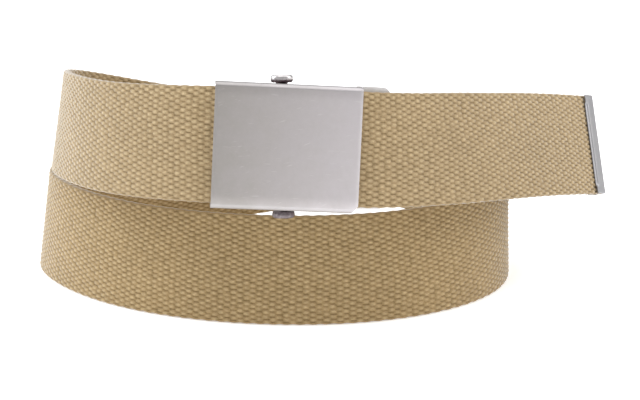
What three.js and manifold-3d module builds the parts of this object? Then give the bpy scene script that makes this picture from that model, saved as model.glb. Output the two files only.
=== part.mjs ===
// Webbing belt with a sliding-bar buckle, fastened and standing on its lower edge in two laps.
// Millimetres, +Z up. The buckle's face looks toward -Y.

import * as THREE from 'three';
import { NURBSCurve } from 'three/addons/curves/NURBSCurve.js';
import * as BufferGeometryUtils from 'three/addons/utils/BufferGeometryUtils.js';
import Module from 'manifold-3d';

const wasm = await Module();
wasm.setup();

// Webbing: 38 mm (1.5 in) cotton, woven thick.
const webWidth = 38;
const webThickness = 2.8;
const webEdgeRadius = 0.9;
const webSteps = 230;

// Buckle: one sheet with its top and bottom folded back, tilted as it hangs on the strap.
const buckleWidth = 47.5;
const buckleHeight = 40.8;
const buckleDepth = 11;
const buckleSheet = 1;
const foldRadius = 1.6;
const cornerCut = { along: 2.1, up: 2.4 };
const buckleCentre = new THREE.Vector3(-10.5, -48.4, 67);
const buckleYaw = 4.5;
const buckleSlope = -3.5;
const buckleLean = 10;

// Slide bar: a rod behind the strap, in a slanted slot in each flange, with a disc head outside.
const barRadius = 2;
const barAt = { x: -1, depth: 7.3 };
const barSkew = 3.3;
const barHeadRadius = 3.7;
const barHeadHeight = 2.4;
const barHeadGap = 0.4;
const barHeadBevel = 0.5;
const slotLength = 13;
const slotWidth = 4.8;
const slotSlant = 8;

// Clamp: a folded plate that hangs on the hinge pin and grips the strap's fixed end.
const clampSheet = 0.8;
const clampLength = 27.5;
const clampHeight = 40.4;
const clampNeck = { length: 17.2, height: 38.2 };
const clampRise = 0.5;
const clampTurn = 17.3;
const clampCornerRadius = 3;
const pinRadius = 1.2;
const pinAt = { x: 7.4, depth: 8 };

// Metal tip: a plate bent square round the strap's free end.
const tipHeight = 37.8;
const tipSheet = 0.6;
const tipGrip = 5.2;
const tipCornerRadius = 0.5;

const gap = 0.35;
const clampGap = 0.6;
const roundSegments = 20;

const webColour = 0xab9774;
const nickelColour = 0xb6b1ac;
const darkNickelColour = 0x8f8a86;

// Axes of a strap-like frame: along the strap, up its width, and in toward the coil's inside.
function leaningAxes(along, leanDegrees) {
  const lean = THREE.MathUtils.degToRad(leanDegrees);
  const up = new THREE.Vector3(0, 0, 1);
  up.addScaledVector(along, -along.z).normalize();
  const inward = new THREE.Vector3().crossVectors(up, along);
  const width = up.clone().multiplyScalar(Math.cos(lean)).addScaledVector(inward, Math.sin(lean));
  return { along, width, inward: new THREE.Vector3().crossVectors(width, along) };
}

function buckleAxes() {
  const yaw = THREE.MathUtils.degToRad(buckleYaw);
  const slope = THREE.MathUtils.degToRad(buckleSlope);
  const along = new THREE.Vector3(
    Math.cos(yaw) * Math.cos(slope),
    Math.sin(yaw) * Math.cos(slope),
    Math.sin(slope),
  );
  return leaningAxes(along, buckleLean);
}

// The strap's bottom edge at a place in the buckle, given along its face and behind it.
function inBuckle(x, depth) {
  const { along, width, inward } = buckleAxes();
  return buckleCentre.clone()
    .addScaledVector(along, x)
    .addScaledVector(inward, depth)
    .addScaledVector(width, -webWidth / 2);
}

// Stations of the strap's bottom edge, from the fixed end to the tip. A smooth curve runs
// through them as its control points. Lean is in degrees, top toward the coil's inside.
const world = (x, y, z, lean) => ({ point: new THREE.Vector3(x, y, z), lean });
const buckle = (x, depth, lean) => ({ point: inBuckle(x, depth), lean });

const stations = {
  fixedEnd: [
    buckle(10.1, 8.8, 8.5),
    buckle(19.2, 11.7, 8.5),
    buckle(30, 15.1, 8.5),
    buckle(42.7, 19, 8.5),
    world(42, -18, 40.5, 8.5),
    world(59, 1, 37, 8),
  ],
  rightEndUpper: [
    world(77, 28, 30.5, 8),
    world(83, 62, 24.5, 7),
    world(66, 94, 18, 5),
  ],
  outerBackPass: [
    world(30, 110, 11, 4),
    world(-13, 111, 4, 3),
    world(-56, 102, 0, 3),
    world(-94, 80, 0, 5),
  ],
  leftEndLower: [
    world(-111.2, 53, 0, 7.6),
    world(-103, 24, 0, 9),
  ],
  frontLower: [
    world(-78, -6, 0, 9),
    world(-44, -24, 0, 8),
    world(-6, -30, 0, 6),
    world(30, -23, 0, 8),
    world(57, -4, 0, 8),
  ],
  rightEndLower: [
    world(72, 23, 0, 3),
    world(70, 51, 4, 0),
  ],
  innerBackPass: [
    world(42, 81, 12, 1),
    world(-4, 95, 17, 4),
    world(-52, 93, 22, 7),
    world(-88.8, 77, 30.4, 9),
  ],
  leftEndUpper: [
    world(-103.8, 47, 38.6, 10.4),
    world(-95, 11, 42.4, 9),
  ],
  frontUpper: [
    world(-74, -23, 44.7, 9),
    world(-41, -46, 48.2, 10),
    buckle(-12.3, 3.4, 10),
    buckle(5.8, 2.8, 10),
    buckle(23.7, 4.7, 10),
  ],
  tail: [
    world(28, -38, 44, 12),
    world(61, -14, 40, 18),
    world(87, 15, 35, 20),
    world(106, 38, 29, 18),
  ],
};

// A clamped uniform cubic curve through four-part control points.
function smoothCurve(controls) {
  const degree = 3;
  const spans = controls.length - degree;
  const knots = [0, 0, 0];
  for (let knot = 0; knot <= spans; knot += 1) knots.push(knot);
  knots.push(spans, spans, spans);
  return new NURBSCurve(degree, knots, controls);
}

// Frames at even steps along the strap: the middle of its bottom edge and its three axes.
function strapFrames(steps) {
  const rows = Object.values(stations).flat();
  const path = smoothCurve(rows.map(({ point }) => new THREE.Vector4(point.x, point.y, point.z, 1)));
  const leans = smoothCurve(rows.map(({ lean }) => new THREE.Vector4(lean, 0, 0, 1)));
  path.arcLengthDivisions = 4000;
  const frames = [];
  for (let step = 0; step <= steps; step += 1) {
    const t = path.getUtoTmapping(step / steps);
    const leanDegrees = leans.getPoint(t).x;
    const frame = leaningAxes(path.getTangent(t), leanDegrees);
    const lean = Math.abs(THREE.MathUtils.degToRad(leanDegrees));
    const lift = (webThickness / 2 - webEdgeRadius) * Math.sin(lean) + webEdgeRadius * (1 - Math.cos(lean));
    frame.origin = path.getPoint(t).add(new THREE.Vector3(0, 0, lift));
    frames.push(frame);
  }
  return frames;
}

// The strap's cross-section as [up the width, inward] pairs: a flat band with rounded edges.
function webSection() {
  const shape = new THREE.Shape();
  const half = webThickness / 2;
  const r = webEdgeRadius;
  shape.absarc(r, -half + r, r, -Math.PI, -Math.PI / 2, false);
  shape.absarc(webWidth - r, -half + r, r, -Math.PI / 2, 0, false);
  shape.absarc(webWidth - r, half - r, r, 0, Math.PI / 2, false);
  shape.absarc(r, half - r, r, Math.PI / 2, Math.PI, false);
  const cornerDivisions = 1;
  return shape.getPoints(cornerDivisions).filter((point, index, all) => {
    const before = all[(index + all.length - 1) % all.length];
    return point.distanceTo(before) > 1e-6;
  });
}

// One closed solid: the section carried along the frames, with a flat cap at each end.
function sweptSolid(section, frames) {
  const corners = section.length;
  const positions = [];
  for (const { origin, width, inward } of frames) {
    for (const point of section) {
      const place = origin.clone().addScaledVector(width, point.x).addScaledVector(inward, point.y);
      positions.push(place.x, place.y, place.z);
    }
  }
  const triangles = [];
  for (let ring = 0; ring < frames.length - 1; ring += 1) {
    for (let corner = 0; corner < corners; corner += 1) {
      const next = (corner + 1) % corners;
      const a = ring * corners + corner;
      const b = ring * corners + next;
      const c = a + corners;
      const d = b + corners;
      triangles.push(a, c, b, b, c, d);
    }
  }
  const cap = THREE.ShapeUtils.triangulateShape(section, []);
  const last = (frames.length - 1) * corners;
  for (const [a, b, c] of cap) {
    triangles.push(a, b, c);
    triangles.push(last + a, last + c, last + b);
  }
  const geometry = new THREE.BufferGeometry();
  geometry.setAttribute('position', new THREE.Float32BufferAttribute(positions, 3));
  geometry.setIndex(triangles);
  return geometry;
}

// A plate outline in the plane of [along, depth], drawn out up the width about its middle.
function uprightPlate(shape, height) {
  const curveSegments = 6;
  const geometry = new THREE.ExtrudeGeometry(shape, { depth: height, bevelEnabled: false, curveSegments });
  return geometry.translate(0, 0, -height / 2);
}

function toManifold(geometry) {
  const bare = geometry.clone();
  bare.deleteAttribute('normal');
  bare.deleteAttribute('uv');
  const merged = BufferGeometryUtils.mergeVertices(bare, 1e-4);
  return new wasm.Manifold(new wasm.Mesh({
    numProp: 3,
    vertProperties: new Float32Array(merged.attributes.position.array),
    triVerts: new Uint32Array(merged.index.array),
  }));
}

function toGeometry(solid) {
  const mesh = solid.getMesh();
  const geometry = new THREE.BufferGeometry();
  geometry.setAttribute('position', new THREE.BufferAttribute(mesh.vertProperties, 3));
  geometry.setIndex(new THREE.BufferAttribute(mesh.triVerts, 1));
  return geometry;
}

function namedMesh(name, geometry, colour, roughness, metalness) {
  const mesh = new THREE.Mesh(geometry, new THREE.MeshStandardMaterial({ color: colour, roughness, metalness }));
  mesh.name = name;
  return mesh;
}

// Buckle coordinates: x along the face, y behind it from its outer side, z up it.
// The sheet's profile in [depth, height]: face, two round folds and two flanges.
function buckleProfile() {
  const top = buckleHeight / 2;
  const inner = foldRadius - buckleSheet;
  const shape = new THREE.Shape();
  shape.moveTo(buckleDepth, -top);
  shape.lineTo(foldRadius, -top);
  shape.absarc(foldRadius, -top + foldRadius, foldRadius, -Math.PI / 2, -Math.PI, true);
  shape.lineTo(0, top - foldRadius);
  shape.absarc(foldRadius, top - foldRadius, foldRadius, Math.PI, Math.PI / 2, true);
  shape.lineTo(buckleDepth, top);
  shape.lineTo(buckleDepth, top - buckleSheet);
  shape.lineTo(foldRadius, top - buckleSheet);
  shape.absarc(foldRadius, top - foldRadius, inner, Math.PI / 2, Math.PI, false);
  shape.lineTo(buckleSheet, -top + foldRadius);
  shape.absarc(foldRadius, -top + foldRadius, inner, Math.PI, Math.PI * 1.5, false);
  shape.lineTo(buckleDepth, -top + buckleSheet);
  shape.closePath();
  return shape;
}

// A slanted slot through both flanges, with round ends.
function slotCutter() {
  const straight = (slotLength - slotWidth) / 2;
  const r = slotWidth / 2;
  const shape = new THREE.Shape();
  shape.absarc(straight, 0, r, -Math.PI / 2, Math.PI / 2, false);
  shape.absarc(-straight, 0, r, Math.PI / 2, Math.PI * 1.5, false);
  const cutter = uprightPlate(shape, buckleHeight * 2);
  cutter.rotateZ(THREE.MathUtils.degToRad(slotSlant));
  return cutter.translate(barAt.x, barAt.depth, 0);
}

// The slanting cut across the face's lower corner at the clamp's side.
function cornerCutter() {
  const edge = buckleWidth / 2;
  const bottom = -buckleHeight / 2;
  const shape = new THREE.Shape();
  shape.moveTo(edge - cornerCut.along, bottom);
  shape.lineTo(edge - cornerCut.along, bottom - 1);
  shape.lineTo(edge + 1, bottom - 1);
  shape.lineTo(edge + 1, bottom + cornerCut.up);
  shape.lineTo(edge, bottom + cornerCut.up);
  const cutter = new THREE.ExtrudeGeometry(shape, { depth: buckleDepth * 3, bevelEnabled: false });
  return cutter.rotateX(Math.PI / 2).translate(0, buckleDepth * 2, 0);
}

function buckleFrameGeometry() {
  const sheet = new THREE.ExtrudeGeometry(buckleProfile(), {
    depth: buckleWidth,
    bevelEnabled: false,
    curveSegments: 6,
  });
  // The profile's [depth, height] plane is turned so that it is drawn out along x.
  const turn = new THREE.Matrix4().set(
    0, 0, 1, -buckleWidth / 2,
    1, 0, 0, 0,
    0, 1, 0, 0,
    0, 0, 0, 1,
  );
  sheet.applyMatrix4(turn);
  const pinHole = new THREE.CylinderGeometry(pinRadius + gap, pinRadius + gap, buckleHeight * 2, roundSegments);
  pinHole.rotateX(Math.PI / 2).translate(pinAt.x, pinAt.depth, 0);
  return toGeometry(
    toManifold(sheet)
      .subtract(toManifold(slotCutter()))
      .subtract(toManifold(pinHole))
      .subtract(toManifold(cornerCutter())),
  );
}

// The slide bar's rod with a bevelled disc head outside each flange, turned about its own axis.
function barGeometry() {
  const flange = buckleHeight / 2 + barHeadGap;
  const top = flange + barHeadHeight;
  const profile = [
    new THREE.Vector2(0, -top),
    new THREE.Vector2(barHeadRadius - barHeadBevel, -top),
    new THREE.Vector2(barHeadRadius, -top + barHeadBevel),
    new THREE.Vector2(barHeadRadius, -flange),
    new THREE.Vector2(barRadius, -flange),
    new THREE.Vector2(barRadius, flange),
    new THREE.Vector2(barHeadRadius, flange),
    new THREE.Vector2(barHeadRadius, top - barHeadBevel),
    new THREE.Vector2(barHeadRadius - barHeadBevel, top),
    new THREE.Vector2(0, top),
  ];
  return new THREE.LatheGeometry(profile, roundSegments).rotateX(Math.PI / 2);
}

// The clamp's plate as [along, depth]: bent round the pin at x = 0, with both leaves toward +x.
function clampShape() {
  const inner = webThickness / 2 + clampGap;
  const outer = inner + clampSheet;
  const shape = new THREE.Shape();
  shape.moveTo(clampLength, -outer);
  shape.lineTo(0, -outer);
  shape.absarc(0, 0, outer, -Math.PI / 2, -Math.PI * 1.5, true);
  shape.lineTo(clampLength, outer);
  shape.lineTo(clampLength, inner);
  shape.lineTo(0, inner);
  shape.absarc(0, 0, inner, Math.PI / 2, Math.PI * 1.5, false);
  shape.lineTo(clampLength, -inner);
  shape.closePath();
  return shape;
}

// The tip's plate as [back along the strap, depth]: end wall before x = 0, leaves toward +x.
function tipShape() {
  const inner = webThickness / 2 + gap;
  const outer = inner + tipSheet;
  const r = tipCornerRadius;
  const shape = new THREE.Shape();
  shape.moveTo(tipGrip, -outer);
  shape.lineTo(r - tipSheet, -outer);
  shape.absarc(r - tipSheet, r - outer, r, -Math.PI / 2, -Math.PI, true);
  shape.lineTo(-tipSheet, outer - r);
  shape.absarc(r - tipSheet, outer - r, r, Math.PI, Math.PI / 2, true);
  shape.lineTo(tipGrip, outer);
  shape.lineTo(tipGrip, inner);
  shape.lineTo(0, inner);
  shape.lineTo(0, -inner);
  shape.lineTo(tipGrip, -inner);
  shape.closePath();
  return shape;
}

// The clamp's leaves are cut to one outline: a neck that fits between the flanges, and past
// them a taller end with round corners.
function clampGeometry() {
  const plate = uprightPlate(clampShape(), clampHeight).translate(0, 0, clampRise);
  const half = clampHeight / 2;
  const neck = clampNeck.height / 2;
  const r = clampCornerRadius;
  const outline = new THREE.Shape();
  const low = clampRise - half;
  const high = clampRise + half;
  outline.moveTo(-clampLength, -neck);
  outline.lineTo(clampNeck.length, -neck);
  outline.lineTo(clampNeck.length, low);
  outline.lineTo(clampLength - r, low);
  outline.absarc(clampLength - r, low + r, r, -Math.PI / 2, 0, false);
  outline.absarc(clampLength - r, high - r, r, 0, Math.PI / 2, false);
  outline.lineTo(clampNeck.length, high);
  outline.lineTo(clampNeck.length, neck);
  outline.lineTo(-clampLength, neck);
  const keep = new THREE.ExtrudeGeometry(outline, { depth: clampLength, bevelEnabled: false, curveSegments: 5 });
  keep.rotateX(Math.PI / 2).translate(0, clampLength / 2, 0);
  return toGeometry(toManifold(plate).intersect(toManifold(keep)));
}

function buildBuckle() {
  const buckleGroup = new THREE.Group();
  const { along, width, inward } = buckleAxes();
  const basis = new THREE.Matrix4().makeBasis(along, inward, width);
  buckleGroup.position.copy(buckleCentre);
  buckleGroup.quaternion.setFromRotationMatrix(basis);

  buckleGroup.add(namedMesh('buckle_frame', buckleFrameGeometry(), nickelColour, 0.35, 0.9));

  const bar = namedMesh('slide_bar', barGeometry(), nickelColour, 0.3, 0.9);
  bar.position.set(barAt.x, barAt.depth, 0);
  bar.rotation.y = THREE.MathUtils.degToRad(-barSkew);
  buckleGroup.add(bar);

  const pinGeometry = new THREE.CylinderGeometry(pinRadius, pinRadius, buckleHeight, roundSegments);
  const pin = namedMesh('hinge_pin', pinGeometry.rotateX(Math.PI / 2), darkNickelColour, 0.4, 0.9);
  pin.position.set(pinAt.x, pinAt.depth, 0);
  buckleGroup.add(pin);

  const clamp = namedMesh('clamp', clampGeometry(), nickelColour, 0.35, 0.9);
  clamp.position.copy(pin.position);
  clamp.rotation.z = THREE.MathUtils.degToRad(clampTurn);
  buckleGroup.add(clamp);
  return buckleGroup;
}

function buildTip(endFrame) {
  const tip = namedMesh('end_tip', uprightPlate(tipShape(), tipHeight), nickelColour, 0.35, 0.9);
  const { origin, along, width, inward } = endFrame;
  const back = along.clone().negate();
  const basis = new THREE.Matrix4().makeBasis(back, inward.clone().negate(), width);
  tip.quaternion.setFromRotationMatrix(basis);
  tip.position.copy(origin)
    .addScaledVector(width, webWidth / 2)
    .addScaledVector(along, gap);
  return tip;
}

const frames = strapFrames(webSteps);
const belt = new THREE.Group();
belt.add(namedMesh('strap', sweptSolid(webSection(), frames), webColour, 0.95, 0));
belt.add(buildBuckle());
belt.add(buildTip(frames[frames.length - 1]));

// The origin is the middle of the belt's outline on the surface that it stands on.
belt.updateMatrixWorld(true);
const bounds = new THREE.Box3().setFromObject(belt, true);
const middle = bounds.getCenter(new THREE.Vector3());
belt.position.set(-middle.x, -middle.y, -bounds.min.z);

export default belt;
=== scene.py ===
"""Looks of a webbing belt with a sliding-bar buckle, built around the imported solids."""

import functools
import math

import bmesh
import bpy
import numpy as np
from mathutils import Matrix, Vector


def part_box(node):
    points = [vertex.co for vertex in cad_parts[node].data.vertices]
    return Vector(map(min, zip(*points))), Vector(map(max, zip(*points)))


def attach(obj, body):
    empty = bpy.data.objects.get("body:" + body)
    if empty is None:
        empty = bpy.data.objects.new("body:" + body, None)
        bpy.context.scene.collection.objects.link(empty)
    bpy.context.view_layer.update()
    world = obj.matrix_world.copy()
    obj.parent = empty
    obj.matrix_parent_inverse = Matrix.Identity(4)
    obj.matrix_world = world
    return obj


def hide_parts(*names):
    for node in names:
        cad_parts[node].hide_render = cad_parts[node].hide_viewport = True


bl_info = {
    "name": "Webbing belt with slide buckle",
    "version": (1, 0, 0),
    "blender": (4, 5, 0),
    "location": "View3D > Sidebar > Belt",
    "description": "Woven strap, nickel buckle and studio around the packed belt",
    "category": "Object",
}

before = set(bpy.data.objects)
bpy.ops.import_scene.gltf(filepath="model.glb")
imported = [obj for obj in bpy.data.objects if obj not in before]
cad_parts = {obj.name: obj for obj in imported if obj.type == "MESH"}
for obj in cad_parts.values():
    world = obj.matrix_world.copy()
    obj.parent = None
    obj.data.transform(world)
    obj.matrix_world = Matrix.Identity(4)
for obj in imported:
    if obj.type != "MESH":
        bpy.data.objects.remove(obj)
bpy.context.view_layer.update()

MM = 0.001
BODY = "root"

# The strap's stations, in millimetres, with the lean in degrees. A "world" row is x, y, z and lean
# in the belt's layout. A "buckle" row is how far along the face and how far behind it, nothing,
# and lean, in the buckle's own axes.
STATIONS = (
    ("buckle", 10.1, 8.8, 0, 8.5),
    ("buckle", 19.2, 11.7, 0, 8.5),
    ("buckle", 30, 15.1, 0, 8.5),
    ("buckle", 42.7, 19, 0, 8.5),
    ("world", 42, -18, 40.5, 8.5),
    ("world", 59, 1, 37, 8),
    ("world", 77, 28, 30.5, 8),
    ("world", 83, 62, 24.5, 7),
    ("world", 66, 94, 18, 5),
    ("world", 30, 110, 11, 4),
    ("world", -13, 111, 4, 3),
    ("world", -56, 102, 0, 3),
    ("world", -94, 80, 0, 5),
    ("world", -111.2, 53, 0, 7.6),
    ("world", -103, 24, 0, 9),
    ("world", -78, -6, 0, 9),
    ("world", -44, -24, 0, 8),
    ("world", -6, -30, 0, 6),
    ("world", 30, -23, 0, 8),
    ("world", 57, -4, 0, 8),
    ("world", 72, 23, 0, 3),
    ("world", 70, 51, 4, 0),
    ("world", 42, 81, 12, 1),
    ("world", -4, 95, 17, 4),
    ("world", -52, 93, 22, 7),
    ("world", -88.8, 77, 30.4, 9),
    ("world", -103.8, 47, 38.6, 10.4),
    ("world", -95, 11, 42.4, 9),
    ("world", -74, -23, 44.7, 9),
    ("world", -41, -46, 48.2, 10),
    ("buckle", -12.3, 3.4, 0, 10),
    ("buckle", 5.8, 2.8, 0, 10),
    ("buckle", 23.7, 4.7, 0, 10),
    ("world", 28, -38, 44, 12),
    ("world", 61, -14, 40, 18),
    ("world", 87, 15, 35, 20),
    ("world", 106, 38, 29, 18),
)

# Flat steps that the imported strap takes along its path.
PACKED_STEPS = 230

# The buckle's place in the layout, in millimetres and degrees.
BUCKLE_CENTRE = np.array([-10.5, -48.4, 67.0])
BUCKLE_YAW = 4.5
BUCKLE_SLOPE = -3.5
BUCKLE_LEAN = 10

# The face, in millimetres from its middle: up to the outside of a flange, up to the start of a
# fold, and along to an end.
FLANGE_TOP = 20.4
FOLD_START = 18.8
FACE_END = 23.75

# The face's shading: the stretches in millimetres over which it leans out before a fold and before
# an end, how many times steeper it leans before an end, and the share of darker plate painted on a fold as
# shade.
FOLD_SHOULDER = 3.0
END_SHOULDER = 1.3
END_STEEPNESS = 11.0
FOLD_PAINTED_SHADE = 0.4

# Where the bar and the pin cross the middle of the buckle, along it and behind its face in
# millimetres, and how far the bar is turned from upright in degrees.
BAR_AT = (-1, 7.3)
BAR_SKEW = 3.3
PIN_AT = (7.4, 8)

# Half the length of one grain of the weave, in picks, and half its width, in rows.
GRAIN_PICKS = 0.62
GRAIN_ROWS = 0.95


def linear(colour):
    """A six-digit sRGB hex colour as linear red, green, blue and alpha."""
    parts = np.array([int(colour[i:i + 2], 16) for i in (0, 2, 4)]) / 255
    bright = np.where(parts <= 0.04045, parts / 12.92, ((parts + 0.055) / 1.055) ** 2.4)
    return (*bright.tolist(), 1.0)


class BeltSizes(bpy.types.PropertyGroup):
    """Sizes of the belt's visible detail, in metres."""

    web_width: bpy.props.FloatProperty(
        name="Webbing width", description="From edge to edge", default=0.038, unit="LENGTH")
    web_thickness: bpy.props.FloatProperty(
        name="Webbing thickness", description="Over the tops of the weave", default=0.0028, unit="LENGTH")
    web_relief: bpy.props.FloatProperty(
        name="Weave relief", description="How deep the hollows of the weave are", default=0.0005,
        unit="LENGTH")
    pick_spacing: bpy.props.FloatProperty(
        name="Pick spacing", description="From one cross yarn to the next", default=0.0023, unit="LENGTH")
    yarn_rows: bpy.props.IntProperty(
        name="Yarn rows", description="Lengthwise yarns side by side on each face", default=42, min=4)
    plate_edge: bpy.props.FloatProperty(
        name="Plate edge", description="Width of the broken edge on the metal plates", default=0.00018,
        unit="LENGTH")
    floor_size: bpy.props.FloatProperty(
        name="Floor size", description="Width of the studio floor", default=8.0, unit="LENGTH")


class BeltColours(bpy.types.PropertyGroup):
    """Base colours of the belt's finishes."""

    # The crests are painted lighter, partly a painted highlight on the grains and partly rubbing; the
    # hollows are painted darker, as painted shade.
    web_crest: bpy.props.FloatVectorProperty(
        name="Webbing, crests", description="Khaki cotton where the grains of the weave are rubbed",
        subtype="COLOR", size=4, default=linear("baa37b"))
    web_flank: bpy.props.FloatVectorProperty(
        name="Webbing, flanks", description="Khaki cotton on the sides of the grains", subtype="COLOR",
        size=4, default=linear("9e865f"))
    web_hollow: bpy.props.FloatVectorProperty(
        name="Webbing, hollows", description="Khaki cotton down in the weave", subtype="COLOR",
        size=4, default=linear("7e6844"))
    nickel: bpy.props.FloatVectorProperty(
        name="Nickel plate", description="Clean satin nickel", subtype="COLOR",
        size=4, default=linear("d1cbcd"))
    # Tarnished plate: the real dull patches, and also the painted shade that darkens each plate toward its
    # left.
    tarnish_and_shade: bpy.props.FloatVectorProperty(
        name="Tarnished nickel", description="Dull patches of the plating", subtype="COLOR",
        size=4, default=linear("aea9a5"))
    # A darker copy of the plate, painted as shade on the end tip and on the face's folds.
    shaded_nickel: bpy.props.FloatVectorProperty(
        name="Dull nickel", description="Duller plate on the end tip and the folds", subtype="COLOR",
        size=4, default=linear("9a999b"))
    # Bright plate: on the clamp it is painted light, a lit copy of the plate; on the scratches and the bar
    # it is rubbed and clean plate.
    rubbed_and_lit_nickel: bpy.props.FloatVectorProperty(
        name="Bright nickel", description="Rubbed plate of the clamp, the bar and the scratches",
        subtype="COLOR", size=4, default=linear("e6e3e2"))
    # The colour of the painted shade under and on the bar's heads, and of its real grime spots.
    shade_and_grime: bpy.props.FloatVectorProperty(
        name="Grime", description="Old dirt and oxide under the bar's heads", subtype="COLOR",
        size=4, default=linear("55464b"))
    steel: bpy.props.FloatVectorProperty(
        name="Steel wire", description="Plain wire of the hinge pin", subtype="COLOR",
        size=4, default=linear("a09a94"))
    floor: bpy.props.FloatVectorProperty(
        name="Floor", description="Pale studio floor", subtype="COLOR", size=4, default=linear("fcfcfc"))


# Path of the strap


def leaning_axes(along, lean):
    """Axes of a strap at a place: up is the vertical made square to the path, inward is up cross
    along, and both are turned by the lean about the path."""
    up = np.array([0, 0, 1.0]) - along * along[..., 2:3]
    up /= np.linalg.norm(up, axis=-1, keepdims=True)
    inward = np.cross(up, along)
    turn = np.radians(lean)[..., None]
    width = np.cos(turn) * up + np.sin(turn) * inward
    return along, width, np.cross(width, along)


def buckle_axes():
    """The buckle's axes: along its face, up it, and in behind it."""
    yaw = math.radians(BUCKLE_YAW)
    slope = math.radians(BUCKLE_SLOPE)
    flat = math.cos(slope)
    along = np.array([math.cos(yaw) * flat, math.sin(yaw) * flat, math.sin(slope)])
    return leaning_axes(along, np.array(BUCKLE_LEAN))


def spline(controls, t):
    """Clamped uniform cubic spline at t from 0 to 1: the sum of the control points, each times its
    weight. From degree 0 up, a weight is its own one of the degree below, times how far t has
    risen into its knots, plus the next one, times how far t has still to fall out of them."""
    spans = len(controls) - 3
    knots = np.concatenate([np.zeros(3), np.arange(spans + 1), np.full(3, spans)])
    place = np.minimum(t * spans, spans - 1e-9)[:, None]
    weights = ((knots[:-1] <= place) & (place < knots[1:])).astype(float)
    for degree in (1, 2, 3):
        rise = knots[degree:-1] - knots[:-degree - 1]
        fall = knots[degree + 1:] - knots[1:-degree]
        rising = (place - knots[:-degree - 1]) / np.where(rise > 0, rise, np.inf)
        falling = (knots[degree + 1:] - place) / np.where(fall > 0, fall, np.inf)
        weights = rising * weights[:, :-1] + falling * weights[:, 1:]
    return weights @ controls


def station_points(web_width):
    """The stations as layout points of the strap's bottom edge, and their leans."""
    along, width, inward = buckle_axes()
    rows = np.array([row[1:] for row in STATIONS], float)
    in_buckle = np.array([row[0] == "buckle" for row in STATIONS])[:, None]
    placed = BUCKLE_CENTRE + rows[:, :1] * along + rows[:, 1:2] * inward - width * web_width / 2
    return np.where(in_buckle, placed, rows[:, :3]), rows[:, 3:]


def path_frames(share, sizes):
    """Origin and axes of the strap's bottom edge at each share of its length, and that length, in
    millimetres. A share is turned to the spline's parameter by the path's summed length."""
    points, leans = station_points(sizes.web_width / MM)
    fine = np.linspace(0, 1, 20001)
    lengths = np.linalg.norm(np.diff(spline(points, fine), axis=0), axis=1)
    travelled = np.concatenate([[0], np.cumsum(lengths)])
    t = np.interp(share * travelled[-1], travelled, fine)
    step = 1e-4
    along = spline(points, np.minimum(t + step, 1)) - spline(points, np.maximum(t - step, 0))
    along /= np.linalg.norm(along, axis=1, keepdims=True)
    lean = spline(leans, t)[:, 0]
    half = sizes.web_thickness / MM / 2
    edge = sizes.web_width / MM / sizes.yarn_rows
    tilt = np.abs(np.radians(lean))
    origin = spline(points, t)
    # A leaning strap is raised, so that its rounded edge and not its middle is at the station.
    origin[:, 2] += (half - edge) * np.sin(tilt) + edge * (1 - np.cos(tilt))
    return origin, leaning_axes(along, lean), travelled[-1]


@functools.lru_cache
def frame_offset():
    """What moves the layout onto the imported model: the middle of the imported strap's box less the
    middle of the same strap's box in the layout."""
    sizes = bpy.context.scene.belt_sizes
    width_mm = sizes.web_width / MM
    half = sizes.web_thickness / MM / 2
    origin, (_, width, inward), _ = path_frames(np.linspace(0, 1, PACKED_STEPS + 1), sizes)
    edge = width_mm / sizes.yarn_rows
    corners = []
    for across in (edge, width_mm - edge):
        for depth in (-half, half):
            corners.append(origin + width * across + inward * depth)
    for across in (0, width_mm):
        for depth in (edge - half, half - edge):
            corners.append(origin + width * across + inward * depth)
    corners = np.concatenate(corners)
    low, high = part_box("strap")
    middle = (np.array(low) + np.array(high)) / 2 / MM
    return tuple(middle - (corners.min(0) + corners.max(0)) / 2)


def from_buckle(points):
    """Buckle coordinates, along the face, behind it and up it, as places in the model."""
    along, width, inward = buckle_axes()
    centre = BUCKLE_CENTRE + frame_offset()
    return centre + points[..., :1] * along + points[..., 1:2] * inward + points[..., 2:] * width


# Meshes


def closed_tube(name, points, rim=None, normals=None, values=None):
    """A closed mesh from a grid of points in millimetres, rows by columns: quads between rows,
    closed round the columns, and one face over each end. rim holds each row's and each column's
    distance for the pattern's own map, and values one number a point for the shade attribute."""
    rows, columns = points.shape[:2]
    row, column = np.meshgrid(np.arange(rows - 1), np.arange(columns), indexing="ij")
    row, column = row.ravel(), column.ravel()
    after = (column + 1) % columns
    quads = np.stack([row * columns + column, row * columns + after,
                      (row + 1) * columns + after, (row + 1) * columns + column], axis=1)
    flat = points.reshape(-1, 3)
    middle = flat.mean(0)
    a, b, c, d = (flat[quads[:, k]] - middle for k in range(4))
    inside_out = (np.cross(c - a, d - b) * (a + b + c + d)).sum() < 0
    start = np.arange(columns)[::-1]
    end = np.arange(columns) + (rows - 1) * columns
    along = np.stack([row, row, row + 1, row + 1], axis=1)
    across = np.stack([column, column + 1, column + 1, column], axis=1)
    if inside_out:
        quads, along, across = quads[:, ::-1], along[:, ::-1], across[:, ::-1]
        start, end = start[::-1], end[::-1]
    mesh = bpy.data.meshes.new(name)
    mesh.from_pydata((flat * MM).tolist(), [], quads.tolist() + [start.tolist(), end.tolist()])
    if rim is not None:
        row_at, column_at = rim
        places = np.zeros((len(mesh.loops), 2))
        places[:quads.size, 0] = row_at[along.ravel()]
        places[:quads.size, 1] = column_at[across.ravel()]
        mesh.uv_layers.new(name="along_and_across").data.foreach_set("uv", places.ravel())
    if values is not None:
        mesh.attributes.new("shade", "FLOAT", "POINT").data.foreach_set("value", values.ravel())
    mesh.shade_smooth()
    if normals is not None:
        mesh.normals_split_custom_set_from_vertices(normals.reshape(-1, 3).tolist())
    return link(name, mesh)


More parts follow.
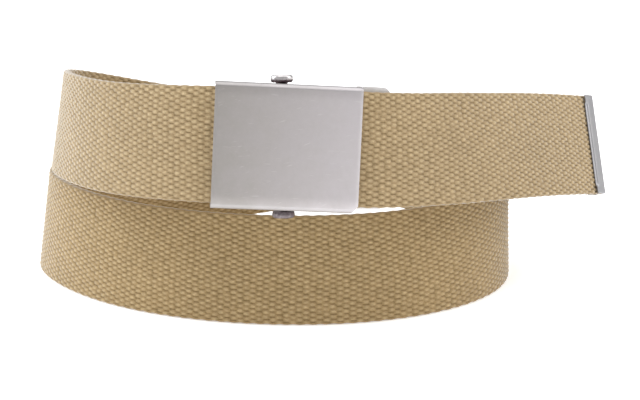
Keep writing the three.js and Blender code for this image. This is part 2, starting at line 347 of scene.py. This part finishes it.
def link(name, mesh):
    """A new object at the origin that shows the mesh."""
    piece = bpy.data.objects.new(name, mesh)
    bpy.context.scene.collection.objects.link(piece)
    return piece


def finish(piece, node, material):
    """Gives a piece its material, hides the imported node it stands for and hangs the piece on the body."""
    piece.data.materials.clear()
    piece.data.materials.append(material)
    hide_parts(node)
    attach(piece, BODY)


def broken_edges(name, node, width):
    """A copy of a packed plate, joined where its triangles meet, with its sharp edges broken."""
    work = bmesh.new()
    work.from_mesh(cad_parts[node].data)
    bmesh.ops.remove_doubles(work, verts=work.verts, dist=1e-6)
    bmesh.ops.dissolve_limit(work, angle_limit=math.radians(1), verts=work.verts, edges=work.edges)
    mesh = bpy.data.meshes.new(name)
    work.to_mesh(mesh)
    work.free()
    mesh.shade_smooth()
    piece = link(name, mesh)
    bevel = piece.modifiers.new("broken edge", "BEVEL")
    bevel.width = width
    bevel.segments = 2
    bevel.limit_method = "ANGLE"
    bevel.angle_limit = math.radians(40)
    bevel.miter_outer = "MITER_ARC"
    level = piece.modifiers.new("flat faces", "WEIGHTED_NORMAL")
    level.keep_sharp = True
    return piece


# Materials


def add_node(tree, kind, inputs=None, **settings):
    """Adds a node, sets its properties, and gives its inputs values or links."""
    node = tree.nodes.new(kind)
    for name, value in settings.items():
        setattr(node, name, value)
    for key, value in (inputs or {}).items():
        if isinstance(value, bpy.types.NodeSocket):
            tree.links.new(value, node.inputs[key])
        else:
            node.inputs[key].default_value = value
    return node


def new_material(name):
    """An empty material and its node tree."""
    material = bpy.data.materials.new(name)
    material.use_nodes = True
    material.node_tree.nodes.clear()
    return material, material.node_tree


def cotton_webbing():
    """Woven cotton, dyed khaki: matt, with soft fuzz on the yarns, paler where they stand up, partly a
    painted highlight and partly rubbing, darker down between them and along the edges as painted shade,
    slightly uneven in dye along the strap, and with a painted paleness of whiter light toward its free end."""
    colours = bpy.context.scene.belt_colours
    material, tree = new_material("khaki_cotton_webbing")
    relief = add_node(tree, "ShaderNodeAttribute", attribute_name="shade")
    place = add_node(tree, "ShaderNodeUVMap", uv_map="along_and_across")
    # Dye: cloudy patches about 25 mm across.
    dye = add_node(tree, "ShaderNodeTexNoise", {
        "Vector": place.outputs["UV"], "Scale": 1 / 0.025, "Detail": 3.0, "Roughness": 0.6})
    # Fibres: streaks 0.8 mm long, drawn 0.3 mm wide so that they show, along the yarns.
    stretched = add_node(tree, "ShaderNodeMapping", {
        "Vector": place.outputs["UV"], "Scale": (1 / 0.0008, 1 / 0.0003, 1.0)})
    fibre = add_node(tree, "ShaderNodeTexNoise", {
        "Vector": stretched.outputs["Vector"], "Scale": 1.0, "Detail": 2.0})
    # Yarn shade: each stretch of yarn a little lighter or darker, over about 2 mm.
    patch = add_node(tree, "ShaderNodeTexNoise", {
        "Vector": place.outputs["UV"], "Scale": 1 / 0.0022, "Detail": 1.0})
    # Painted shade and highlight: the colour is darker down in the weave and along the edges, and lighter
    # on the crests.
    raised = add_node(tree, "ShaderNodeMapRange", {
        "Value": relief.outputs["Fac"], "From Min": 0.05, "From Max": 0.5})
    flank = add_node(tree, "ShaderNodeMix", {
        0: raised.outputs["Result"], 6: colours.web_hollow, 7: colours.web_flank}, data_type="RGBA")
    lit_and_rubbed = add_node(tree, "ShaderNodeMapRange", {
        "Value": relief.outputs["Fac"], "From Min": 0.6, "From Max": 0.98})
    body = add_node(tree, "ShaderNodeMix", {
        0: lit_and_rubbed.outputs["Result"], 6: flank.outputs[2], 7: colours.web_crest}, data_type="RGBA")
    shade = add_node(tree, "ShaderNodeMath", {
        0: dye.outputs["Fac"], 1: patch.outputs["Fac"]}, operation="ADD")
    shade_range = add_node(tree, "ShaderNodeMapRange", {
        "Value": shade.outputs[0], "From Min": 0.7, "From Max": 1.3, "To Min": 0.93, "To Max": 1.07})
    streak = add_node(tree, "ShaderNodeMapRange", {
        "Value": fibre.outputs["Fac"], "From Min": 0.3, "From Max": 0.7, "To Min": 0.82, "To Max": 1.18})
    factor = add_node(tree, "ShaderNodeMath", {
        0: shade_range.outputs[0], 1: streak.outputs[0]}, operation="MULTIPLY")
    tinted = add_node(tree, "ShaderNodeVectorMath", {
        0: body.outputs[2], "Scale": factor.outputs[0]}, operation="SCALE")
    # Painted paleness: from half way to the free end the colour is made a little less saturated, standing
    # in for the whiter light that falls there.
    down_strap = add_node(tree, "ShaderNodeSeparateXYZ", {"Vector": place.outputs["UV"]})
    painted_paleness = add_node(tree, "ShaderNodeMapRange", {
        "Value": down_strap.outputs["X"], "From Min": 0.55, "From Max": 0.8, "To Min": 1.0, "To Max": 0.93})
    painted_pale = add_node(tree, "ShaderNodeHueSaturation", {
        "Color": tinted.outputs[0], "Saturation": painted_paleness.outputs["Result"]})
    bump = add_node(tree, "ShaderNodeBump", {
        "Height": fibre.outputs["Fac"], "Strength": 0.5, "Distance": 0.00008})
    shader = add_node(tree, "ShaderNodeBsdfPrincipled", {
        "Base Color": painted_pale.outputs["Color"], "Roughness": 0.92, "IOR": 1.5, "Specular IOR Level": 0.25,
        "Sheen Weight": 1.0, "Sheen Roughness": 0.36, "Normal": bump.outputs["Normal"]})
    add_node(tree, "ShaderNodeOutputMaterial", {"Surface": shader.outputs["BSDF"]})
    return material


def face_shading(tree, place, lean):
    """Shading of a plate folded at its top and bottom and sheared at its ends, from the place on
    the buckle's face: a normal that leans out over the last stretch before each fold and, more
    steeply, before each end, as pressed sheet does, by a bump whose depth is lean times the
    square of how far into the stretch, and a share from 0 on the face to 1 on the folds, where
    a darker plate is painted as shade."""
    along, up, _ = buckle_axes()
    centre = BUCKLE_CENTRE + frame_offset()
    reaches = []
    depths = []
    shoulders = (
        (up, FOLD_START - FOLD_SHOULDER, 1.0),
        (along, FACE_END - END_SHOULDER, END_STEEPNESS),
    )
    for axis, start, steepness in shoulders:
        on_axis = add_node(tree, "ShaderNodeVectorMath", {
            0: place.outputs["Object"], 1: (axis / MM).tolist()}, operation="DOT_PRODUCT")
        from_centre = add_node(tree, "ShaderNodeMath", {
            0: on_axis.outputs["Value"], 1: float(axis @ centre)}, operation="SUBTRACT")
        reach = add_node(tree, "ShaderNodeMath", {0: from_centre.outputs[0]}, operation="ABSOLUTE")
        past = add_node(tree, "ShaderNodeMath", {0: reach.outputs[0], 1: start}, operation="SUBTRACT")
        into = add_node(tree, "ShaderNodeMath", {0: past.outputs[0], 1: 0.0}, operation="MAXIMUM")
        square = add_node(tree, "ShaderNodeMath", {0: into.outputs[0], 1: 2.0}, operation="POWER")
        depth = add_node(tree, "ShaderNodeMath", {
            0: square.outputs[0], 1: steepness}, operation="MULTIPLY")
        reaches.append(reach.outputs[0])
        depths.append(depth.outputs[0])
    both = add_node(tree, "ShaderNodeMath", {0: depths[0], 1: depths[1]}, operation="ADD")
    bump = add_node(tree, "ShaderNodeBump", {
        "Height": both.outputs[0], "Strength": 1.0, "Distance": MM * lean}, invert=True)
    folded = add_node(tree, "ShaderNodeMapRange", {
        "Value": reaches[0], "From Min": FOLD_START - 0.2, "From Max": FOLD_START + 0.5})
    return bump.outputs["Normal"], folded.outputs["Result"]


def nickel_plate(name, roughness, clean_colour, lean=0.0):
    """Satin nickel plate on pressed steel: soft reflections with fine handling scratches and faint dull
    patches, and a painted shade that darkens the plate toward its left and lightens it toward the strap's
    free end.
    A lean above 0 adds the shading of the folded face plate, with a darker plate painted on its folds as
    shade."""
    colours = bpy.context.scene.belt_colours
    material, tree = new_material(name)
    place = add_node(tree, "ShaderNodeTexCoord")
    # Dull patches about 9 mm across, over a painted shade that darkens the plate toward the left and clears
    # toward the strap's free end.
    cloud = add_node(tree, "ShaderNodeTexNoise", {
        "Vector": place.outputs["Object"], "Scale": 1 / 0.009, "Detail": 4.0, "Roughness": 0.65})
    along = add_node(tree, "ShaderNodeSeparateXYZ", {"Vector": place.outputs["Object"]})
    painted_light_gradient = add_node(tree, "ShaderNodeMapRange", {
        "Value": along.outputs["X"], "From Min": -0.036, "From Max": 0.014, "To Min": -0.5, "To Max": 0.5})
    patchy = add_node(tree, "ShaderNodeMath", {
        0: cloud.outputs["Fac"], 1: 0.8, 2: 0.1}, operation="MULTIPLY_ADD")
    clean_and_lit = add_node(tree, "ShaderNodeMath", {
        0: patchy.outputs[0], 1: painted_light_gradient.outputs["Result"]}, operation="ADD", use_clamp=True)
    body = add_node(tree, "ShaderNodeMix", {
        0: clean_and_lit.outputs[0], 6: colours.tarnish_and_shade, 7: clean_colour}, data_type="RGBA")
    # Handling scratches: a few hairlines 0.3 mm wide and about 4 mm long, in two directions.
    hairs = []
    for turn in (1.25, 1.6):
        stretched = add_node(tree, "ShaderNodeMapping", {
            "Vector": place.outputs["Object"], "Rotation": (0.0, turn, 0.0),
            "Scale": (0.0006, 0.0006, 0.007)}, vector_type="TEXTURE")
        hair = add_node(tree, "ShaderNodeTexNoise", {
            "Vector": stretched.outputs["Vector"], "Scale": 1.0, "Detail": 1.0})
        hairs.append(hair.outputs["Fac"])
    hair = add_node(tree, "ShaderNodeMath", {0: hairs[0], 1: hairs[1]}, operation="MAXIMUM")
    bare = add_node(tree, "ShaderNodeMapRange", {
        "Value": hair.outputs[0], "From Min": 0.7, "From Max": 0.8, "To Max": 0.3})
    scratched = add_node(tree, "ShaderNodeMix", {
        0: bare.outputs["Result"], 6: body.outputs[2], 7: colours.rubbed_and_lit_nickel}, data_type="RGBA")
    dull = add_node(tree, "ShaderNodeMapRange", {
        "Value": cloud.outputs["Fac"], "From Min": 0.35, "From Max": 0.65,
        "To Min": roughness + 0.04, "To Max": roughness - 0.03})
    bump = add_node(tree, "ShaderNodeBump", {
        "Height": hair.outputs[0], "Strength": 0.15, "Distance": 0.00002})
    plated = scratched
    if lean:
        normal, folded = face_shading(tree, place, lean)
        tree.links.new(normal, bump.inputs["Normal"])
        # Painted shade: the folds take the darker copy of the plate.
        share = add_node(tree, "ShaderNodeMath", {0: folded, 1: FOLD_PAINTED_SHADE}, operation="MULTIPLY")
        plated = add_node(tree, "ShaderNodeMix", {
            0: share.outputs[0], 6: scratched.outputs[2], 7: colours.shaded_nickel}, data_type="RGBA")
    shader = add_node(tree, "ShaderNodeBsdfPrincipled", {
        "Base Color": plated.outputs[2], "Metallic": 1.0, "Roughness": dull.outputs[0],
        "Normal": bump.outputs["Normal"]})
    add_node(tree, "ShaderNodeOutputMaterial", {"Surface": shader.outputs["BSDF"]})
    return material


def turned_nickel():
    """Nickel plate on a turned steel bar: bright on the top head, and darker in painted shade under it,
    in the ring of its dish and over all of the lower head, which sits in shade under the buckle, with spots
    of real grime."""
    colours = bpy.context.scene.belt_colours
    material, tree = new_material("turned_nickel_plate")
    shade_and_grime = add_node(tree, "ShaderNodeAttribute", attribute_name="shade")
    place = add_node(tree, "ShaderNodeTexCoord")
    # Spots of grime about 1 mm across.
    spot = add_node(tree, "ShaderNodeTexNoise", {
        "Vector": place.outputs["Object"], "Scale": 1 / 0.001, "Detail": 2.0})
    spotted = add_node(tree, "ShaderNodeMath", {
        0: spot.outputs["Fac"], 1: 0.5, 2: -0.25}, operation="MULTIPLY_ADD")
    # Painted shade from the attribute, with the grime spots added.
    shade_and_dirt = add_node(tree, "ShaderNodeMath", {
        0: shade_and_grime.outputs["Fac"], 1: spotted.outputs[0]}, operation="ADD", use_clamp=True)
    body = add_node(tree, "ShaderNodeMix", {
        0: shade_and_dirt.outputs[0], 6: colours.rubbed_and_lit_nickel, 7: colours.shade_and_grime}, data_type="RGBA")
    rough = add_node(tree, "ShaderNodeMapRange", {"Value": shade_and_dirt.outputs[0], "To Min": 0.22, "To Max": 0.5})
    shader = add_node(tree, "ShaderNodeBsdfPrincipled", {
        "Base Color": body.outputs[2], "Metallic": 1.0, "Roughness": rough.outputs[0]})
    add_node(tree, "ShaderNodeOutputMaterial", {"Surface": shader.outputs["BSDF"]})
    return material


def steel_wire():
    """Drawn steel wire, grey and plain, with its shine broken by dull spots about 1 mm across."""
    colours = bpy.context.scene.belt_colours
    material, tree = new_material("drawn_steel_wire")
    place = add_node(tree, "ShaderNodeTexCoord")
    grain = add_node(tree, "ShaderNodeTexNoise", {
        "Vector": place.outputs["Object"], "Scale": 1 / 0.0012, "Detail": 3.0})
    rough = add_node(tree, "ShaderNodeMapRange", {
        "Value": grain.outputs["Fac"], "From Min": 0.3, "From Max": 0.7, "To Min": 0.36, "To Max": 0.5})
    shader = add_node(tree, "ShaderNodeBsdfPrincipled", {
        "Base Color": colours.steel, "Metallic": 1.0, "Roughness": rough.outputs[0]})
    add_node(tree, "ShaderNodeOutputMaterial", {"Surface": shader.outputs["BSDF"]})
    return material


def lit_acrylic():
    """Matt white acrylic sheet, softly lit from below so that shadows on it stay pale."""
    colours = bpy.context.scene.belt_colours
    material, tree = new_material("lit_acrylic")
    shader = add_node(tree, "ShaderNodeBsdfPrincipled", {
        "Base Color": colours.floor, "Roughness": 0.9, "Emission Color": colours.floor,
        "Emission Strength": 0.4})
    add_node(tree, "ShaderNodeOutputMaterial", {"Surface": shader.outputs["BSDF"]})
    return material


# Pieces


def web_section(sizes):
    """The webbing's outline, once round it: how far across, how deep, and the parts of the way
    out that point across and deep. The faces are straight and the edges are quarter circles."""
    width = sizes.web_width / MM
    half = sizes.web_thickness / MM / 2
    step = width / (2 * sizes.yarn_rows)
    edge = 2 * step
    face = np.arange(2, 2 * sizes.yarn_rows - 1) * step
    turn = np.radians([22.5, 45, 67.5])
    arc_across = width - edge + edge * np.sin(turn)
    arc_depth = -half + edge - edge * np.cos(turn)
    brink = np.array([edge - half, 0, half - edge])
    across = np.concatenate([face, arc_across, np.full(3, width), arc_across[::-1]])
    depth = np.concatenate([np.full(len(face), -half), arc_depth, brink, -arc_depth[::-1]])
    out_across = np.concatenate([np.zeros(len(face)), np.sin(turn), np.ones(3), np.sin(turn)[::-1]])
    out_depth = np.concatenate([-np.ones(len(face)), -np.cos(turn), np.zeros(3), np.cos(turn)[::-1]])
    across = np.concatenate([across, width - across])
    depth = np.concatenate([depth, -depth])
    out_across = np.concatenate([out_across, -out_across])
    out_depth = np.concatenate([out_depth, -out_depth])
    return across, depth, out_across, out_depth


def weave_height(pick, row, scatter):
    """Height of a plain weave from 0 to 1. A grain stands where a lengthwise yarn passes over a
    cross yarn: one less the square of how far along the grain, times one less the square of how
    far across it, both to a power under one. The grains are on two sets of crossings, one pick
    and one row apart, and the higher grain shows. scatter holds each grain's own height and how
    far it strays along and across."""
    height = np.zeros(np.broadcast(pick, row).shape)
    for shift in (0, 1):
        pick_at = np.round((pick - shift) / 2)
        row_at = np.round((row - shift) / 2)
        # The second set takes its scatter seven rows further on, so the two sets differ.
        pick_number = pick_at.astype(int) % scatter.shape[1]
        row_number = (row_at.astype(int) + 7 * shift) % scatter.shape[2]
        own, stray_pick, stray_row = scatter[:, pick_number, row_number]
        off_pick = (pick - shift - 2 * pick_at + stray_pick) / GRAIN_PICKS
        off_row = (row - shift - 2 * row_at + stray_row) / GRAIN_ROWS
        grain = np.maximum(1 - off_row ** 2, 0) ** 0.7 * np.maximum(1 - off_pick ** 2, 0) ** 0.6
        height = np.maximum(height, grain * own)
    return height


class BELT_OT_strap(bpy.types.Operator):
    """Weave the strap along its coiled path, in stretches"""

    bl_idname = "belt.strap"
    bl_label = "Strap"

    def execute(self, context):
        sizes = context.scene.belt_sizes
        _, _, length = path_frames(np.array([0.0, 1.0]), sizes)
        stretches = 5
        steps_per_pick = 5
        # Each stretch has an even number of picks.
        picks = int(round(length * MM / sizes.pick_spacing / (2 * stretches)) * (2 * stretches))
        share = np.linspace(0, 1, picks * steps_per_pick + 1)
        origin, (_, width, inward), _ = path_frames(share, sizes)
        origin = origin + frame_offset()
        across, depth, out_across, out_depth = web_section(sizes)
        pick = (share * picks)[:, None]
        row = across[None, :] / (sizes.web_width / MM) * sizes.yarn_rows
        # Each grain's own height, and how far it strays along and across, in picks and rows.
        low = np.array([0.84, -0.12, -0.15])[:, None, None]
        high = np.array([1.0, 0.12, 0.15])[:, None, None]
        scatter = np.random.default_rng(11).uniform(low, high, (3, picks, sizes.yarn_rows))
        # The yarns wander: the columns sway by a tenth of a pick every 13 cm or so, and by less
        # every 5 cm.
        sway = 0.1 * np.sin(pick / 9 + row / 5) + 0.06 * np.sin(pick / 3.7 - row / 3)
        inner = out_depth[None, :] > 0
        height = weave_height(pick + sway + inner, row, scatter)
        # Along the edges the cross yarn turns back at every second pick, on one edge and then on
        # the other.
        edge_height = 0.82 + 0.18 * np.cos(np.pi * (pick + (across > 1)[None, :]))
        face_share = np.abs(out_depth)[None, :] ** 2
        height = face_share * height + (1 - face_share) * edge_height
        # The edges are coloured darker, as if lower: painted shade along them.
        shade = height * (0.4 + 0.6 * face_share)
        sink = -(1 - height) * sizes.web_relief / MM
        grid = (origin[:, None] + (across + sink * out_across)[..., None] * width[:, None]
                + (depth + sink * out_depth)[..., None] * inward[:, None])
        down = np.gradient(grid, axis=0)
        round_it = np.roll(grid, -1, axis=1) - np.roll(grid, 1, axis=1)
        normals = np.cross(round_it, down)
        outward = out_across[:, None] * width[:, None] + out_depth[:, None] * inward[:, None]
        if (normals * outward).sum() < 0:
            normals = -normals
        normals /= np.linalg.norm(normals, axis=2, keepdims=True)
        edge_points = np.stack([across, depth], axis=1)
        spans = np.linalg.norm(np.roll(edge_points, -1, axis=0) - edge_points, axis=1)
        column_at = np.concatenate([[0], np.cumsum(spans)]) * MM
        bounds = np.linspace(0, picks, stretches + 1).astype(int) * steps_per_pick
        material = cotton_webbing()
        for number, (first, last) in enumerate(zip(bounds[:-1], bounds[1:]), 1):
            part = slice(first, last + 1)
            piece = closed_tube(f"webbing_{number}", grid[part], (share[part] * length * MM, column_at),
                                normals[part], shade[part])
            finish(piece, "strap", material)
        return {"FINISHED"}


class BELT_OT_buckle_frame(bpy.types.Operator):
    """Break the edges of the buckle's folded face plate and plate it with satin nickel"""

    bl_idname = "belt.buckle_frame"
    bl_label = "Buckle frame"

    def execute(self, context):
        piece = broken_edges("buckle_face_plate", "buckle_frame", context.scene.belt_sizes.plate_edge)
        nickel = context.scene.belt_colours.nickel
        plating = nickel_plate("satin_nickel_plate", 0.4, nickel, lean=0.015)
        finish(piece, "buckle_frame", plating)
        return {"FINISHED"}


def mirrored(half):
    """A whole profile from its upper half: the same radii below the middle, then the half."""
    return [(radius, -height) for radius, height in half[:0:-1]] + half


def turned(profile, segments, flutes=0, flute_depth=0.0, flute_reach=0.0):
    """A turned piece about z: the profile's radius and height carried round. Flutes lower the
    radius by a cosine of the angle, where the height is within their reach."""
    angle = np.linspace(0, 2 * math.pi, segments, endpoint=False)
    radius = np.array(profile)[:, :1]
    height = np.array(profile)[:, 1:]
    cut = flute_depth * (0.5 - 0.5 * np.cos(flutes * angle)) * (np.abs(height) < flute_reach)
    radius = radius - cut
    return np.stack([radius * np.cos(angle), radius * np.sin(angle), height + 0 * angle], axis=2)


class BELT_OT_slide_bar(bpy.types.Operator):
    """Turn the slide bar: a fluted rod with a dished disc head at each end"""

    bl_idname = "belt.slide_bar"
    bl_label = "Slide bar"

    def execute(self, context):
        # Half of the profile from the middle up: radius and height, in millimetres. The underside
        # of a head is 0.4 mm off the flange, and the head's own heights are from its underside.
        under = FLANGE_TOP + 0.4
        half = [(2, 0), (2, 6), (2, 12), (2, 17.5), (1.85, 18), (1.85, under - 0.3), (2, under)]
        head = [(3.0, 0), (3.3, 0.12), (3.52, 0.4), (3.66, 0.8), (3.7, 1.2), (3.68, 1.6), (3.58, 1.95),
                (3.38, 2.22), (3.1, 2.38), (2.85, 2.4), (2.6, 2.28), (2.35, 2.08), (2.0, 1.92), (1.5, 1.88),
                (1.15, 1.95), (0.95, 2.1), (0.6, 2.24), (0.2, 2.28), (0.02, 2.28)]
        half += [(radius, under + height) for radius, height in head]
        points = turned(mirrored(half), 96, flutes=16, flute_depth=0.3, flute_reach=17.6)
        # Painted shade lies from the flange to half way up the top head's rim, in the ring of its dish, and
        # on all of the lower head, a little thinner, standing in for the shade under the buckle. The rest
        # of the top head has a film of it.
        x, y, z = np.moveaxis(points, 2, 0)
        beyond = np.abs(z) - under
        reach = np.where(z > 0, 1.3, 3.2)
        on_rim = np.clip((reach - beyond) / 0.6, 0.3, 1) * np.where(z > 0, 1, 0.85)
        in_dish = 0.6 * (np.hypot(x, y) < 2.5) * (beyond > 1.9) * (beyond < 2.2)
        shade_and_grime = np.maximum(on_rim, in_dish)
        skew = math.radians(BAR_SKEW)
        tilted = np.stack([
            x * math.cos(skew) - z * math.sin(skew) + BAR_AT[0],
            y + BAR_AT[1],
            x * math.sin(skew) + z * math.cos(skew)], axis=2)
        piece = closed_tube("slide_bar_turned", from_buckle(tilted), values=shade_and_grime)
        finish(piece, "slide_bar", turned_nickel())
        return {"FINISHED"}


class BELT_OT_clamp(bpy.types.Operator):
    """Break the edges of the clamp's folded plate and turn its hinge pin"""

    bl_idname = "belt.clamp"
    bl_label = "Clamp and pin"

    def execute(self, context):
        piece = broken_edges("clamp_plate", "clamp", context.scene.belt_sizes.plate_edge)
        # The clamp's brighter plate is painted light: a lit copy of the nickel.
        bright = context.scene.belt_colours.rubbed_and_lit_nickel
        finish(piece, "clamp", nickel_plate("painted_lit_nickel_plate", 0.36, bright))
        # Half of the pin's profile from the middle up: radius and height, in millimetres. Its end
        # is level with the flange.
        half = [(1.2, 0), (1.2, 10), (1.2, 19), (1.2, 20.15), (1.12, 20.3), (0.95, 20.37),
                (0.5, FLANGE_TOP), (0.02, FLANGE_TOP)]
        points = turned(mirrored(half), 40) + np.array([PIN_AT[0], PIN_AT[1], 0])
        pin = closed_tube("hinge_pin_wire", from_buckle(points))
        finish(pin, "hinge_pin", steel_wire())
        return {"FINISHED"}


def tip_outline(sheet, inner, grip, bend):
    """The tip's plate seen from its edge, as back along the strap and depth: once round a U whose
    arms are the sheet's thickness and start at the inner depth, with rounded lips and a bend of
    that radius at the corners."""
    outer = inner + sheet
    turn = np.radians(np.linspace(90, 180, 7))
    corner = np.stack([bend - sheet + bend * np.cos(turn), outer - bend + bend * np.sin(turn)], axis=1)
    reach = np.linspace(grip, bend - sheet, 28)
    leaf = np.stack([reach, np.full(28, outer)], axis=1)
    # Two points of the end wall, the second at its middle.
    wall = np.array([[-sheet, 0.6], [-sheet, 0]])
    lip_turn = np.radians(np.linspace(-90, 90, 7))[1:-1]
    lip_back = grip + sheet / 2 * np.cos(lip_turn)
    lip = np.stack([lip_back, inner + sheet / 2 + sheet / 2 * np.sin(lip_turn)], axis=1)
    inside = np.stack([np.linspace(0, grip, 28), np.full(28, inner)], axis=1)
    half = np.concatenate([np.array([[0, 0]]), inside, lip, leaf, corner[1:], wall[:1]])
    other_half = half[::-1] * [1, -1]
    return np.concatenate([half, wall[1:], other_half[:-1]])


class BELT_OT_end_tip(bpy.types.Operator):
    """Fold the end tip round the strap's free end and crimp its lips"""

    bl_idname = "belt.end_tip"
    bl_label = "End tip"

    def execute(self, context):
        sizes = context.scene.belt_sizes
        origin, (along, width, inward), _ = path_frames(np.array([1.0]), sizes)
        # In millimetres: how far the tip reaches back, its sheet, its height, its gap to the strap
        # and the radius of its bends.
        grip, sheet, height, clearance, bend = 5.2, 0.6, 37.8, 0.35, 0.5
        inner = sizes.web_thickness / MM / 2 + clearance
        outline = tip_outline(sheet, inner, grip - sheet / 2, bend)
        side = np.sign(outline[:, 1])
        deep = np.abs(outline[:, 1])
        # Levels up the tip, closer together where the crimp starts and at the rounded ends.
        half = np.array([0, 5, 10, 14, 15, 15.4, 15.8, 16.2, 16.8, 17.6, 18.4, 18.75, height / 2])
        levels = np.concatenate([-half[:0:-1], half])
        # The crimp reaches 16.2 mm up and down and eases off over 0.8 mm. It starts 1.6 mm before
        # the lips, and deepens over 1.1 mm by a smooth step, three squares less two cubes.
        pressed = np.clip((16.2 - np.abs(levels)) / 0.8, 0, 1)
        near_lip = np.clip((outline[:, 0] - (grip - 1.6)) / 1.1, 0, 1)
        near_lip = near_lip * near_lip * (3 - 2 * near_lip)
        # It also thins the lip, so the outside is pressed in 0.5 mm and the inside 0.3 mm.
        squeeze = 0.3 + 0.2 * np.clip((deep - inner) / sheet, 0, 1)
        depth = outline[:, 1] - side * squeeze * near_lip * pressed[:, None]
        # The plate's outside draws in 0.1 mm at its top and bottom ends, which rounds them.
        shrink = np.clip((np.abs(levels) - 18.6) / 0.3, 0, 1) * 0.1
        outside = deep > inner + 0.4 * sheet
        depth = depth - side * shrink[:, None] * outside
        back = np.broadcast_to(outline[:, 0], depth.shape)
        middle = origin[0] + width[0] * sizes.web_width / MM / 2 + along[0] * clearance + frame_offset()
        points = (middle - back[..., None] * along[0] - depth[..., None] * inward[0]
                  + levels[:, None, None] * width[0])
        piece = closed_tube("end_tip_plate", points)
        piece.data.set_sharp_from_angle(angle=math.radians(50))
        # The tip is plated with the darker copy of the nickel, as painted shade.
        dull = context.scene.belt_colours.shaded_nickel
        finish(piece, "end_tip", nickel_plate("shaded_nickel_plate", 0.4, dull))
        return {"FINISHED"}


# Stage


def area_light(name, place, target, size, power, colour=(1, 1, 1)):
    """A square soft light at a place, turned toward the target."""
    data = bpy.data.lights.new(name, "AREA")
    data.shape = "SQUARE"
    data.size = size
    data.energy = power
    data.color = colour
    light = bpy.data.objects.new(name, data)
    toward = np.array(target, float) - np.array(place, float)
    toward /= np.linalg.norm(toward)
    light.location = place
    light.rotation_euler = (math.acos(-toward[2]), 0, math.atan2(-toward[0], toward[1]))
    bpy.context.scene.collection.objects.link(light)


class BELT_OT_stage(bpy.types.Operator):
    """Lay the lit floor, set soft lights to both sides and above, and place the camera"""

    bl_idname = "belt.stage"
    bl_label = "Stage"

    def execute(self, context):
        scene = context.scene
        reach = scene.belt_sizes.floor_size / 2
        mesh = bpy.data.meshes.new("floor")
        corners = [(-reach, -reach, 0), (reach, -reach, 0), (reach, reach, 0), (-reach, reach, 0)]
        mesh.from_pydata(corners, [], [(0, 1, 2, 3)])
        mesh.materials.append(lit_acrylic())
        floor = link("floor", mesh)

        world = bpy.data.worlds.new("white_tent")
        world.use_nodes = True
        background = world.node_tree.nodes["Background"]
        background.inputs["Color"].default_value = linear("ffffff")
        background.inputs["Strength"].default_value = 0.56
        scene.world = world

        belt_middle = (0, 0, 0.04)
        area_light("left_softbox", (-1.5, 0.3, 0.75), belt_middle, 1.0, 20, (0.9, 0.95, 1.0))
        area_light("right_softbox", (1.5, 0.0, 0.75), belt_middle, 1.0, 9)
        area_light("top_softbox", (0, 0, 2.0), belt_middle, 3.0, 36)

        camera_data = bpy.data.cameras.new("camera")
        camera_data.sensor_width = 36
        camera_data.lens = 88.78
        camera_data.clip_start = 0.01
        camera = bpy.data.objects.new("camera", camera_data)
        camera.location = (0.00018, -0.57055, 0.1792)
        camera.rotation_euler = (math.radians(90 - 14.707), 0, 0)
        scene.collection.objects.link(camera)
        scene.camera = camera
        scene.view_settings.view_transform = "Standard"
        return {"FINISHED"}


class BELT_PT_panel(bpy.types.Panel):
    """Lists the belt's sizes, colours and pieces"""

    bl_label = "Belt"
    bl_idname = "BELT_PT_panel"
    bl_space_type = "VIEW_3D"
    bl_region_type = "UI"
    bl_category = "Belt"

    def draw(self, context):
        for group in (context.scene.belt_sizes, context.scene.belt_colours):
            for name in group.__annotations__:
                self.layout.prop(group, name)
        for operator in OPERATORS:
            self.layout.operator(operator.bl_idname)


OPERATORS = (BELT_OT_strap, BELT_OT_buckle_frame, BELT_OT_slide_bar, BELT_OT_clamp, BELT_OT_end_tip,
             BELT_OT_stage)
CLASSES = (BeltSizes, BeltColours, *OPERATORS, BELT_PT_panel)


def register():
    """Makes the classes known to Blender and hangs their values on the scene."""
    for cls in CLASSES:
        bpy.utils.register_class(cls)
    bpy.types.Scene.belt_sizes = bpy.props.PointerProperty(type=BeltSizes)
    bpy.types.Scene.belt_colours = bpy.props.PointerProperty(type=BeltColours)


def unregister():
    """Takes the classes and their values away again."""
    del bpy.types.Scene.belt_colours
    del bpy.types.Scene.belt_sizes
    for cls in reversed(CLASSES):
        bpy.utils.unregister_class(cls)


def main():
    """Builds every piece and the stage."""
    register()
    bpy.ops.belt.strap()
    bpy.ops.belt.buckle_frame()
    bpy.ops.belt.slide_bar()
    bpy.ops.belt.clamp()
    bpy.ops.belt.end_tip()
    bpy.ops.belt.stage()


if __name__ == "__main__":
    main()
